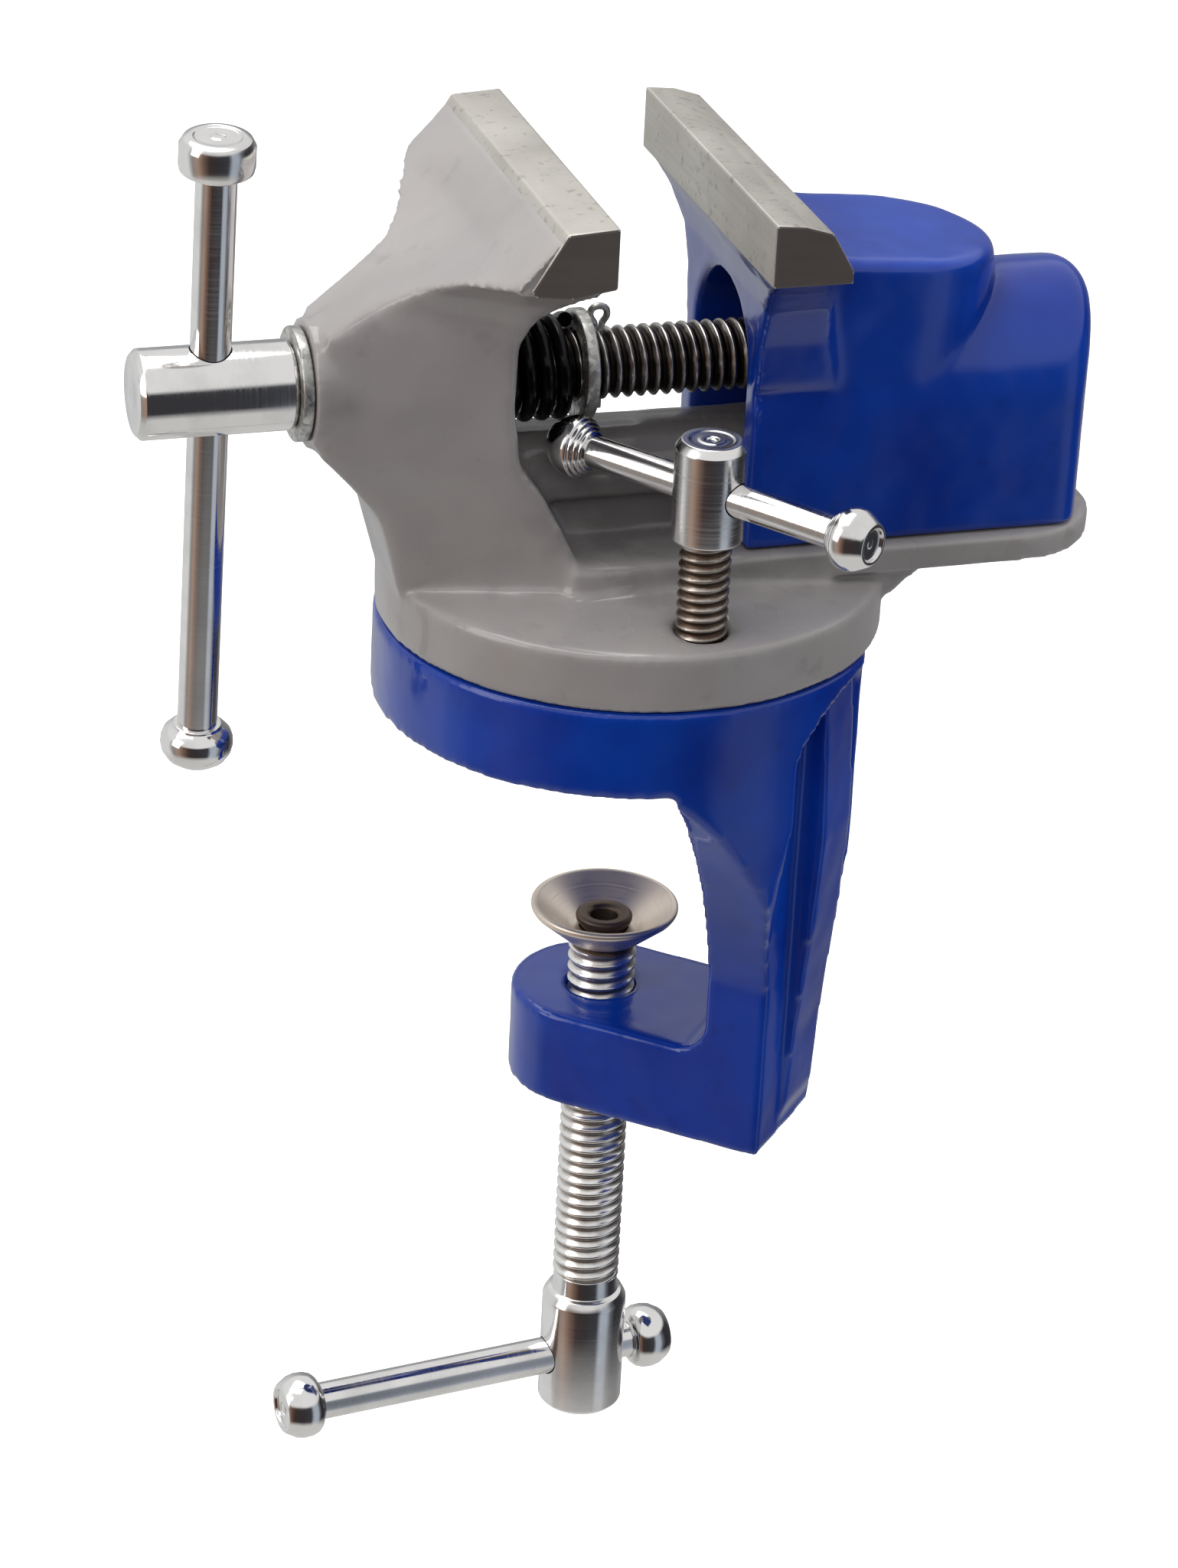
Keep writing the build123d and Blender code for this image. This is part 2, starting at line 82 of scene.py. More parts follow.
# %% Soft boxes
def soft_box(name, place, aim, width, height, power, colour=(1, 1, 1)):
    lamp = bpy.data.lights.new(name, "AREA")
    lamp.shape = "RECTANGLE"
    lamp.size, lamp.size_y = width, height
    lamp.energy = power
    lamp.color = colour
    box = bpy.data.objects.new(name, lamp)
    scene.collection.objects.link(box)
    box.location = place
    box.rotation_mode = "QUATERNION"
    box.rotation_quaternion = (Vector(aim) - Vector(place)).to_track_quat("-Z", "Y")
    return box


middle_height = (0, 0, 0.02)
soft_box("overhead", (-0.25, 0.25, 1.00), middle_height, 1.0, 0.8, 8.0)
soft_box("left_side", (-1.0, -0.15, 0.45), middle_height, 0.5, 0.8, 3.4)
right_low = soft_box("right_low", (0.95, 0.05, 0.0), (0, 0, -0.04), 0.4, 0.4, 4.2)
front_fill = soft_box("front_fill", (-0.55, -1.0, 0.55), middle_height, 0.7, 0.5, 1.8)
right_low.visible_glossy = front_fill.visible_glossy = False

# %% [markdown]
# ## The room in the reflections
# Bright steel is only as good as the room it shows. The world is a ring of soft colours: a pale
# window on the left, warm wood in front, a cooler wall on the right and a dark gap behind it.
# Over it lies a white ceiling and under it a pale table. Plain grey would make dull grey bars.

# %% Surroundings
world = bpy.data.worlds.new("studio")
scene.world = world
world.use_nodes = True
room = world.node_tree
scene.view_settings.view_transform = "Standard"
scene.view_settings.look = "None"


def room_node(kind, operation=None, *values):
    node = room.nodes.new(kind)
    if operation:
        node.operation = operation
    for socket, value in zip(node.inputs, values):
        if isinstance(value, bpy.types.NodeSocket):
            room.links.new(value, socket)
        else:
            socket.default_value = value
    return node


looking = room_node("ShaderNodeTexCoord").outputs["Generated"]
to_front = room_node("ShaderNodeVectorMath", "DOT_PRODUCT", looking, (-0.31, -0.95, 0)).outputs["Value"]
to_right = room_node("ShaderNodeVectorMath", "DOT_PRODUCT", looking, (0.95, -0.31, 0)).outputs["Value"]
bearing = room_node("ShaderNodeMath", "ARCTAN2", to_right, to_front).outputs[0]
round_room = room_node("ShaderNodeMapRange", None, bearing, -math.pi, math.pi, 0.0, 1.0).outputs["Result"]
walls = room_node("ShaderNodeValToRGB")
room.links.new(round_room, walls.inputs["Fac"])
WALLS = [(0.0, (0.55, 0.56, 0.58)), (0.10, (1.3, 1.32, 1.32)), (0.25, (1.35, 1.36, 1.36)),
         (0.30, (0.50, 0.47, 0.45)), (0.35, (0.72, 0.50, 0.38)), (0.40, (0.34, 0.21, 0.16)),
         (0.45, (0.09, 0.06, 0.055)), (0.51, (0.07, 0.06, 0.065)), (0.61, (0.08, 0.085, 0.10)),
         (0.64, (0.78, 0.86, 1.0)),
         (0.69, (0.74, 0.82, 0.94)), (0.72, (0.24, 0.26, 0.30)), (0.76, (0.05, 0.05, 0.06)),
         (0.84, (0.08, 0.08, 0.09)), (0.92, (0.40, 0.40, 0.42)), (1.0, (0.55, 0.56, 0.58))]
stops = walls.color_ramp.elements
stops[0].position, stops[0].color = WALLS[0][0], (*WALLS[0][1], 1)
stops[1].position, stops[1].color = WALLS[-1][0], (*WALLS[-1][1], 1)
for position, colour in WALLS[1:-1]:
    stops.new(position).color = (*colour, 1)
height = room_node("ShaderNodeSeparateXYZ", None, looking).outputs["Z"]


def over(share, below, above):
    node = room_node("ShaderNodeMix")
    node.data_type = "RGBA"
    room.links.new(share, node.inputs["Factor"])
    for socket, value in ((node.inputs["A"], below), (node.inputs["B"], above)):
        if isinstance(value, tuple):
            socket.default_value = (*value, 1)
        else:
            room.links.new(value, socket)
    return node.outputs["Result"]


ceiling = room_node("ShaderNodeMapRange", None, height, 0.30, 0.44, 0.0, 1.0).outputs["Result"]
table = room_node("ShaderNodeMapRange", None, height, -0.52, -0.74, 0.0, 1.0).outputs["Result"]
seen = over(table, over(ceiling, walls.outputs["Color"], (1.5, 1.5, 1.5)), (1.15, 1.14, 1.12))
surround = room.nodes["Background"]
room.links.new(seen, surround.inputs["Color"])
surround.inputs["Strength"].default_value = 0.55
print("room:", len(stops), "colours round the walls")

# %% Floor
FLOOR_HEIGHT = -0.30
floor_mesh = bmesh.new()
bmesh.ops.create_grid(floor_mesh, x_segments=1, y_segments=1, size=9.0)
bmesh.ops.translate(floor_mesh, vec=(0, 0, FLOOR_HEIGHT), verts=floor_mesh.verts)
floor_data = bpy.data.meshes.new("floor")
floor_mesh.to_mesh(floor_data)
floor_mesh.free()
floor = bpy.data.objects.new("floor", floor_data)
scene.collection.objects.link(floor)
floor.visible_glossy = False
floor.visible_diffuse = False
paper = bpy.data.materials.new("pale_floor")
paper.use_nodes = True
paper_shader = paper.node_tree.nodes["Principled BSDF"]
paper_shader.inputs["Base Color"].default_value = (0.93, 0.93, 0.93, 1)
paper_shader.inputs["Roughness"].default_value = 0.9
paper_shader.inputs["Emission Color"].default_value = (1, 1, 1, 1)
paper_shader.inputs["Emission Strength"].default_value = 0.45
floor.data.materials.append(paper)
print("floor", -FLOOR_HEIGHT, "m below the table seat")

# %% [markdown]
# ## Node helpers
# Every finish reads the Object coordinates, which are metres in the frame of the whole vise.
# Turned parts also need to know how far a point is along their own axis and how far out from
# it, and two vector products give both without turning any object.


# %% Node helpers
def new_finish(name):
    material = bpy.data.materials.new(name)
    material.use_nodes = True
    tree = material.node_tree
    place = tree.nodes.new("ShaderNodeTexCoord").outputs["Object"]
    return material, tree, tree.nodes["Principled BSDF"], place


def feed(tree, socket, value):
    if isinstance(value, bpy.types.NodeSocket):
        tree.links.new(value, socket)
    else:
        socket.default_value = value


def noise(tree, place, scale, detail=2.0, stretch=None):
    if stretch:
        mapping = tree.nodes.new("ShaderNodeMapping")
        mapping.inputs["Scale"].default_value = stretch
        tree.links.new(place, mapping.inputs["Vector"])
        place = mapping.outputs["Vector"]
    texture = tree.nodes.new("ShaderNodeTexNoise")
    texture.inputs["Scale"].default_value = scale
    texture.inputs["Detail"].default_value = detail
    tree.links.new(place, texture.inputs["Vector"])
    return texture.outputs["Fac"]


def lines(tree, distance, scale, detail=3.0):
    texture = tree.nodes.new("ShaderNodeTexNoise")
    texture.noise_dimensions = "1D"
    texture.inputs["Scale"].default_value = scale
    texture.inputs["Detail"].default_value = detail
    tree.links.new(distance, texture.inputs["W"])
    return texture.outputs["Fac"]


def span(tree, value, low, high, to_low=0.0, to_high=1.0):
    node = tree.nodes.new("ShaderNodeMapRange")
    feed(tree, node.inputs["Value"], value)
    for socket, number in zip(("From Min", "From Max", "To Min", "To Max"), (low, high, to_low, to_high)):
        node.inputs[socket].default_value = number
    return node.outputs["Result"]


def sum_of(tree, a, b, kind="ADD"):
    node = tree.nodes.new("ShaderNodeMath")
    node.operation = kind
    feed(tree, node.inputs[0], a)
    feed(tree, node.inputs[1], b)
    return node.outputs[0]


def mix(tree, share, a, b):
    node = tree.nodes.new("ShaderNodeMix")
    node.data_type = "RGBA"
    feed(tree, node.inputs["Factor"], share)
    feed(tree, node.inputs["A"], (*a, 1) if isinstance(a, tuple) else a)
    feed(tree, node.inputs["B"], (*b, 1) if isinstance(b, tuple) else b)
    return node.outputs["Result"]


def relief(tree, shader, *layers):
    """Each layer is (height socket, strength, depth in metres); they pile up in order."""
    normal = None
    for height, strength, depth in layers:
        bump = tree.nodes.new("ShaderNodeBump")
        bump.inputs["Strength"].default_value = strength
        bump.inputs["Distance"].default_value = depth
        tree.links.new(height, bump.inputs["Height"])
        if normal:
            tree.links.new(normal, bump.inputs["Normal"])
        normal = bump.outputs["Normal"]
    tree.links.new(normal, shader.inputs["Normal"])


def about_axis(tree, place, point, direction):
    """Distance along an axis and distance out from it, as two sockets."""
    steps = []
    for operation, operand in (("SUBTRACT", point), ("DOT_PRODUCT", direction), ("CROSS_PRODUCT", direction)):
        node = tree.nodes.new("ShaderNodeVectorMath")
        node.operation = operation
        node.inputs[1].default_value = tuple(operand)
        tree.links.new(steps[0].outputs["Vector"] if steps else place, node.inputs[0])
        steps.append(node)
    length = tree.nodes.new("ShaderNodeVectorMath")
    length.operation = "LENGTH"
    tree.links.new(steps[2].outputs["Vector"], length.inputs[0])
    return steps[1].outputs["Value"], length.outputs["Value"]


# %% [markdown]
# ## Enamel
# The castings are dipped or sprayed over rough iron, so the paint is glossy but never flat: it
# pools, sags and keeps a fine orange peel. Two noise sizes in the bump do this. The colour
# drifts slightly with the paint's thickness, and a clear coat gives the wet gloss. Round the rail
# between the jaws the grey paint is darkened: this is painted shade from the jaws, with some oil
# from the screw. Distance from there lays it on.


# %% Enamel finishes
def enamel(name, thin, thick, rough_low, rough_high, coat, peel, sag, shade_and_oil=None):
    material, tree, shader, place = new_finish(name)
    drift = noise(tree, place, 55.0, 3.0)
    colour = mix(tree, span(tree, drift, 0.35, 0.65), thin, thick)
    grime = span(tree, noise(tree, place, 240.0, 4.0), 0.62, 0.78, 0.0, 0.35)
    colour = mix(tree, grime, colour, tuple(0.55 * channel for channel in thick))
    # painted shade between the jaws, darkest by the rail, with some of the screw's oil
    if shade_and_oil:
        point, near, far = shade_and_oil
        distance = tree.nodes.new("ShaderNodeVectorMath")
        distance.operation = "DISTANCE"
        distance.inputs[1].default_value = point
        tree.links.new(place, distance.inputs[0])
        wander = span(tree, noise(tree, place, 160.0, 3.0), 0.3, 0.7, -3.0 * MM, 3.0 * MM)
        shade_and_oil_film = span(tree, sum_of(tree, distance.outputs["Value"], wander), near, far, 0.62, 0.0)
        # near-black laid on by distance: painted shade of the jaws over the rail, with some oil
        colour = mix(tree, shade_and_oil_film, colour, (0.035, 0.031, 0.030))
    tree.links.new(colour, shader.inputs["Base Color"])
    gloss = span(tree, noise(tree, place, 130.0), 0.3, 0.7, rough_low, rough_high)
    tree.links.new(gloss, shader.inputs["Roughness"])
    shader.inputs["Coat Weight"].default_value = coat
    shader.inputs["Coat Roughness"].default_value = 0.06
    shader.inputs["Specular IOR Level"].default_value = 0.3
    relief(tree, shader, (noise(tree, place, 85.0, 1.5), 1.0, sag),
           (noise(tree, place, 620.0, 1.0), 1.0, peel))
    return material


PEEL = 0.010 * MM
blue_enamel = enamel("blue_enamel", (0.003, 0.044, 0.36), (0.0015, 0.024, 0.25),
                     0.14, 0.24, 0.45, PEEL, 0.22 * MM)
# the grey is darkened round the rail between the jaws: painted shade, with some oil
grey_enamel = enamel("grey_enamel", (0.345, 0.325, 0.318), (0.30, 0.282, 0.278),
                     0.22, 0.36, 0.5, PEEL, 0.25 * MM, shade_and_oil=((0.004, 0.0, 0.030), 12 * MM, 24 * MM))
print("enamels:", blue_enamel.name, grey_enamel.name)

# %% [markdown]
# ## Ground iron
# The jaw faces are left bare and surface-ground, so they are a soft warm grey with a fine
# straight grain and small dark specks of graphite. A stretched noise makes the grain.


# %% Ground iron finish
def ground(name, bright, dark, grain, metallic=0.75):
    material, tree, shader, place = new_finish(name)
    scratches = noise(tree, place, 100.0, 4.0, grain)
    specks = span(tree, noise(tree, place, 900.0, 2.0), 0.60, 0.72)
    cloud = span(tree, noise(tree, place, 70.0, 3.0), 0.35, 0.7)
    colour = mix(tree, cloud, bright, dark)
    colour = mix(tree, span(tree, specks, 0, 1, 0, 0.35), colour, (0.10, 0.09, 0.08))
    tree.links.new(colour, shader.inputs["Base Color"])
    shader.inputs["Metallic"].default_value = metallic
    tree.links.new(span(tree, scratches, 0.3, 0.7, 0.40, 0.58), shader.inputs["Roughness"])
    relief(tree, shader, (scratches, 0.5, 0.02 * MM), (noise(tree, place, 900.0), 0.4, 0.01 * MM))
    return material


ground_iron = ground("ground_iron", (0.52, 0.50, 0.46), (0.43, 0.41, 0.375), (1.0, 0.6, 18.0))
# the lips' sideways ends: darker sawn iron, partly its own finish and partly painted shade
sawn_and_shaded_iron = ground("sawn_and_shaded_iron", (0.115, 0.098, 0.088), (0.085, 0.070, 0.064), (1.0, 0.6, 14.0), 0.2)
print("bare iron:", ground_iron.name, "and", sawn_and_shaded_iron.name)

# %% [markdown]
# ## Turned steel
# Screws, bars and knobs are turned and plated. A lathe leaves rings, which are lines that only
# change along the axis on a barrel and out from it on an end face. Threads are worn bright on
# their crests and hold oil in their roots, so radius alone decides between two colours.


# %% Turned steel finishes
def turned_steel(name, point, direction, colour=(0.82, 0.81, 0.80), rough=(0.05, 0.13), thread=None):
    material, tree, shader, place = new_finish(name)
    along, out = about_axis(tree, place, point, direction)
    rings = lines(tree, sum_of(tree, along, out), 2600.0)
    smears = noise(tree, place, 170.0, 4.0)
    shade = mix(tree, span(tree, smears, 0.45, 0.72, 0, 0.45), colour, tuple(0.66 * c for c in colour))
    roughness = sum_of(tree, span(tree, rings, 0.3, 0.7, *rough), span(tree, smears, 0.4, 0.7, 0.0, 0.10))
    if thread:
        root, crest, root_colour = thread
        worn = sum_of(tree, out, span(tree, noise(tree, place, 420.0, 3.0), 0.3, 0.7, -0.12 * MM, 0.12 * MM))
        share = span(tree, worn, root, crest)
        shade = mix(tree, share, root_colour, shade)
        roughness = sum_of(tree, roughness, span(tree, share, 0, 1, 0.16, 0.0))
    tree.links.new(shade, shader.inputs["Base Color"])
    tree.links.new(roughness, shader.inputs["Roughness"])
    shader.inputs["Metallic"].default_value = 1.0
    relief(tree, shader, (rings, 0.2, 0.003 * MM), (noise(tree, place, 330.0, 2.0), 0.5, 0.006 * MM))
    return material


def plated(name, light, dark, spangle, rough):
    material, tree, shader, place = new_finish(name)
    cells = tree.nodes.new("ShaderNodeTexVoronoi")
    cells.inputs["Scale"].default_value = spangle
    tree.links.new(place, cells.inputs["Vector"])
    patch = tree.nodes.new("ShaderNodeSeparateColor")
    tree.links.new(cells.outputs["Color"], patch.inputs["Color"])
    tree.links.new(mix(tree, patch.outputs["Red"], light, dark), shader.inputs["Base Color"])
    tree.links.new(span(tree, patch.outputs["Green"], 0, 1, *rough), shader.inputs["Roughness"])
    shader.inputs["Metallic"].default_value = 0.9
    relief(tree, shader, (noise(tree, place, 800.0, 3.0), 0.5, 0.02 * MM))
    return material


galvanised = plated("galvanised", (0.62, 0.61, 0.58), (0.30, 0.30, 0.29), 1500.0, (0.25, 0.5))
zinc_plate = plated("zinc_plate", (0.60, 0.56, 0.50), (0.48, 0.45, 0.41), 500.0, (0.28, 0.42))
black_spring = plated("black_spring", (0.020, 0.019, 0.019), (0.008, 0.008, 0.008), 700.0, (0.14, 0.24))

# %% [markdown]
# ## Places on the frame
# Each turned piece needs its axis. The boxes of its CAD nodes give it: the middle of a head or
# of a knob lies on the axis, and two knobs give the direction of the bar between them.


# %% Places
def middle(node):
    low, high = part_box(node)
    return (low + high) / 2


lead_low, lead_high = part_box("lead_screw")
lead_point = Vector((0, 0, (lead_low.z + lead_high.z) / 2))
X_AXIS, Z_AXIS = Vector((1, 0, 0)), Vector((0, 0, 1))
lock_low, lock_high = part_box("lock_screw")
lock_point = middle("lock_screw")
clamp_low, clamp_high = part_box("clamp_screw")
clamp_point = middle("clamp_screw")


def bar_axis(first, second):
    start, end = middle(first), middle(second)
    return start, (end - start).normalized()


lead_bar_start, lead_bar_way = bar_axis("lead_bar_knob", "lead_bar_button")
lock_bar_start, lock_bar_way = bar_axis("lock_bar_knob_left", "lock_bar_knob_right")
clamp_bar_start, clamp_bar_way = bar_axis("clamp_bar_knob_left", "clamp_bar_knob_right")
print("lead bar leans", round(math.degrees(math.acos(lead_bar_way.z)), 1), "degrees")

# %% [markdown]
# ## Shape helpers
# A lathe is a spin: an outline is swept round the axis, and its ring edges are then rounded
# with a small bevel. A thread is the same spin with a rise at each step. The pieces are made
# standing on Z and then laid on their axis, and the object itself stays at the origin.


# %% Shape helpers
def spun(outline, steps=72, soften=0.0, sharp=28.0):
    """A closed turned solid about Z from an (r, z) outline in millimetres."""
    made = bmesh.new()
    points = [made.verts.new((r * MM, 0, z * MM)) for r, z in outline]
    edges = [made.edges.new(pair) for pair in zip(points, points[1:])]
    bmesh.ops.spin(made, geom=points + edges, cent=(0, 0, 0), axis=(0, 0, 1), dvec=(0, 0, 0),
                   angle=math.tau, steps=steps, use_merge=True)
    bmesh.ops.remove_doubles(made, verts=made.verts, dist=1e-7)
    bmesh.ops.recalc_face_normals(made, faces=made.faces)
    if soften:
        corners = [e for e in made.edges if e.is_manifold and e.calc_face_angle() > math.radians(sharp)
                   and abs(e.verts[0].co.z - e.verts[1].co.z) < 1e-7]
        bmesh.ops.bevel(made, geom=corners, offset=soften * MM, offset_type="OFFSET", segments=3,
                        profile=0.5, affect="EDGES", clamp_overlap=True, material=-1)
    return made


def thread(radius, depth, pitch, length, steps=30):
    """A helical thread about Z, from 0 to length, in millimetres."""
    tooth = [(0, 0), (0.10, 0.14), (0.80, 0.36), (1.0, 0.44), (1.0, 0.56), (0.80, 0.64), (0.10, 0.86), (0, 1)]
    made = bmesh.new()
    points = [made.verts.new(((radius - depth + depth * out) * MM, 0, (up - 1.5) * pitch * MM))
              for out, up in tooth]
    edges = [made.edges.new(pair) for pair in zip(points, points[1:])]
    turns = math.ceil(length / pitch) + 3
    bmesh.ops.spin(made, geom=points + edges, cent=(0, 0, 0), axis=(0, 0, 1), dvec=(0, 0, pitch * MM / steps),
                   angle=math.tau * turns, steps=steps * turns, use_merge=False)
    bmesh.ops.remove_doubles(made, verts=made.verts, dist=1e-6)
    for height, outward in ((0, -1), (length * MM, 1)):
        bmesh.ops.bisect_plane(made, geom=made.verts[:] + made.edges[:] + made.faces[:],
                               plane_co=(0, 0, height), plane_no=(0, 0, outward), clear_outer=True)
        rim = [e for e in made.edges if e.is_boundary and abs(e.verts[0].co.z - height) < 1e-7
               and abs(e.verts[1].co.z - height) < 1e-7]
        bmesh.ops.triangle_fill(made, edges=rim, use_beauty=True)
    bmesh.ops.recalc_face_normals(made, faces=made.faces)
    return made


def coil(radius, wire, pitch, turns, steps=40):
    """A round-wire coil about Z, starting at height 0, in millimetres."""
    made = bmesh.new()
    bmesh.ops.create_circle(made, segments=14, radius=wire * MM, cap_ends=True)
    bmesh.ops.rotate(made, cent=(0, 0, 0), matrix=Matrix.Rotation(math.pi / 2, 3, "X"), verts=made.verts)
    bmesh.ops.translate(made, vec=(radius * MM, 0, 0), verts=made.verts)
    total = round(steps * turns)
    bmesh.ops.spin(made, geom=made.verts[:] + made.edges[:] + made.faces[:], cent=(0, 0, 0), axis=(0, 0, 1),
                   dvec=(0, 0, pitch * MM / steps), angle=math.tau * total / steps, steps=total)
    bmesh.ops.remove_doubles(made, verts=made.verts, dist=1e-7)
    bmesh.ops.recalc_face_normals(made, faces=made.faces)
    return made


def laid(made, point, direction):
    """Lays a piece that stands on Z along a direction, from a point."""
    matrix = Z_AXIS.rotation_difference(direction).to_matrix().to_4x4()
    bmesh.ops.transform(made, matrix=Matrix.Translation(point) @ matrix, verts=made.verts)
    return made


def as_object(name, made):
    data = bpy.data.meshes.new(name)
    made.to_mesh(data)
    made.free()
    piece = bpy.data.objects.new(name, data)
    scene.collection.objects.link(piece)
    return piece


def bake_modifiers(piece):
    """Replaces a piece's mesh by what its modifiers make of it."""
    bpy.context.view_layer.update()
    final = bpy.data.meshes.new_from_object(piece.evaluated_get(bpy.context.evaluated_depsgraph_get()))
    piece.modifiers.clear()
    piece.data = final
    return piece


def drilled(piece, point, direction, radius, length=40.0):
    """Cuts a round hole straight through a piece."""
    drill = laid(spun([(0, -length / 2), (radius, -length / 2), (radius, length / 2), (0, length / 2)], 64),
                 point, direction)
    tool = as_object("drill", drill)
    cut = piece.modifiers.new("hole", "BOOLEAN")
    cut.operation, cut.solver, cut.object = "DIFFERENCE", "EXACT", tool
    bake_modifiers(piece)
    bpy.data.objects.remove(tool)
    return piece


def finish_piece(piece, finish, body, slot, *nodes, sharp=32.0):
    piece.data.materials.clear()
    piece.data.materials.append(finish)
    piece.data.shade_smooth()
    piece.data.set_sharp_from_angle(angle=math.radians(sharp))
    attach(piece, body)
    if nodes:
        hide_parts(*nodes)
    piece.data.calc_loop_triangles()
    print(piece.name, len(piece.data.loop_triangles), "triangles")
    return piece


# %% [markdown]
# ## Castings
# Sand casting and thick paint leave no sharp corner anywhere. The CAD solids have them, so a
# copy of each is rebuilt on a fine voxel grid, which joins its faces into one skin, and the
# skin is then relaxed. Beveling hundreds of odd CAD edges would tear where they meet. Where
# the pattern-maker left big fillets, a weight makes the relaxing stronger.


# %% Casting helper
def merged_copy(*nodes):
    made = bmesh.new()
    for node in nodes:
        made.from_mesh(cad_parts[node].data)
    bmesh.ops.remove_doubles(made, verts=made.verts, dist=0.002 * MM)
    return made


def relax(piece, weight, rounds):
    """Smooths a piece where weight(point in millimetres) is above 0."""
    group = piece.vertex_groups.new(name="relax")
    for vertex in piece.data.vertices:
        share = weight(vertex.co / MM)
        if share > 0:
            group.add([vertex.index], min(1.0, share), "REPLACE")
    smooth = piece.modifiers.new("relax", "SMOOTH")
    smooth.factor, smooth.iterations, smooth.vertex_group = 0.5, rounds, "relax"
    bake_modifiers(piece)
    piece.vertex_groups.clear()
    return piece


def ramp(value, low, high):
    """0 below low, 1 above high, and straight between."""
    return max(0.0, min(1.0, (value - low) / (high - low)))


def casting(name, voxel, rounds, *nodes):
    piece = as_object(name, merged_copy(*nodes))
    grid = piece.modifiers.new("grid", "REMESH")
    grid.mode, grid.voxel_size = "VOXEL", voxel * MM
    smooth = piece.modifiers.new("soften", "SMOOTH")
    smooth.factor, smooth.iterations = 0.5, rounds
    return bake_modifiers(piece)


lumps = bpy.data.textures.new("casting_lumps", "CLOUDS")
lumps.noise_scale, lumps.noise_depth = 7.0 * MM, 1


def lumpy(piece, height):
    """The pattern's and the paint's unevenness, as real shape."""
    wave = piece.modifiers.new("lumps", "DISPLACE")
    wave.texture, wave.texture_coords = lumps, "LOCAL"
    wave.strength, wave.mid_level = height * MM, 0.5
    return bake_modifiers(piece)


# %% [markdown]
# ## The fixed casting
# The swivel disc, the slide and the front jaw are one grey casting. Its jaw opens like a fan
# from the screw's boss up to the wide lip, so the fan is relaxed most. Just under the lip the
# weight falls to nothing, so that the bare lip still meets the paint on one line.

# %% Fixed casting
def tucked(piece, inside, depth):
    """Draws the skin in under a ground lip, so that the lip's own faces are the ones that show."""
    skin = bmesh.new()
    skin.from_mesh(piece.data)
    skin.normal_update()
    moves = [(v, v.normal.copy() * (inside(v.co / MM, v.normal) * depth * MM)) for v in skin.verts]
    for vertex, move in moves:
        vertex.co -= move
    skin.to_mesh(piece.data)
    skin.free()
    return piece


def swollen(piece, share, way, depth):
    """Pushes part of a piece one way, by a share of a depth in millimetres."""
    for vertex in piece.data.vertices:
        vertex.co += way * (share(vertex.co / MM) * depth * MM)
    return piece


cast_body = casting("cast_body", 0.5, 5, "vise_body", "fixed_jaw_lip")


def fan(point):
    above_disc = ramp(point.z, 19.0, 24.0) * (1 - ramp(point.z, 56.0, 61.5))
    return above_disc * ramp(-point.x, 12.0, 16.0) * ramp(point.x, -41.0, -38.5)


def jaw_foot(point):
    near_foot = ramp(-point.x, -14.0, -6.0) * (1 - ramp(point.z, 23.0, 28.0)) * ramp(point.z, 17.6, 18.4)
    return near_foot * (1 - ramp(math.hypot(point.x, point.y), 27.5, 29.5))


def lip_back(point):
    """The painted back of the lip, which sweeps down into the fan in one hollow curve."""
    return ramp(point.z, 58.0, 60.0) * (1 - ramp(point.z, 66.6, 68.6)) * ramp(-point.x, 15.5, 17.5)


def wide_back(point):
    """The pattern's extra metal down the fan's outer edges, behind the lip."""
    return ramp(abs(point.y), 9.0, 17.0) * ramp(point.z, 42.0, 52.0) * ramp(-point.x, 15.0, 18.5) * (
        1 - ramp(point.z, 62.0, 68.6))


def under_fixed_lip(point, normal):
    bare = ramp(max(normal.x, abs(normal.y), normal.z), 0.74, 0.9)
    return max(ramp(point.z, 62.1, 63.0) * bare, ramp(point.z, 68.1, 68.7))


cast_body = swollen(cast_body, wide_back, Vector((-1, 0, 0)), 1.8)
relax(cast_body, lip_back, 24)
relax(cast_body, fan, 26)
relax(cast_body, jaw_foot, 40)
lumpy(cast_body, 0.22)
tucked(cast_body, under_fixed_lip, 0.4)
finish_piece(cast_body, grey_enamel, "vise", "grey_enamel", "vise_body", sharp=60.0)

# %% [markdown]
# ## The sliding jaw and the clamp frame
# Both are blue castings, made in the same way. The jaw keeps its bore and its slot over the
# rail; the frame keeps the flat seat, the stiffening rib and the lug for the clamp screw.

# %% Sliding jaw
cast_jaw = casting("cast_jaw", 0.45, 6, "moving_jaw", "moving_jaw_lip")


def crown(point):
    return ramp(point.z, 40.0, 44.0) * ramp(point.x, 15.8, 18.0)


relax(cast_jaw, crown, 12)
lumpy(cast_jaw, 0.16)
tucked(cast_jaw, lambda point, normal: ramp(point.z, 61.0, 62.0), 0.4)
finish_piece(cast_jaw, blue_enamel, "jaw", "blue_enamel", "moving_jaw", sharp=60.0)

# %% Clamp frame
cast_frame = casting("cast_frame", 0.5, 6, "clamp_frame")
lumpy(cast_frame, 0.16)
finish_piece(cast_frame, blue_enamel, "frame", "blue_enamel", "clamp_frame", sharp=60.0)
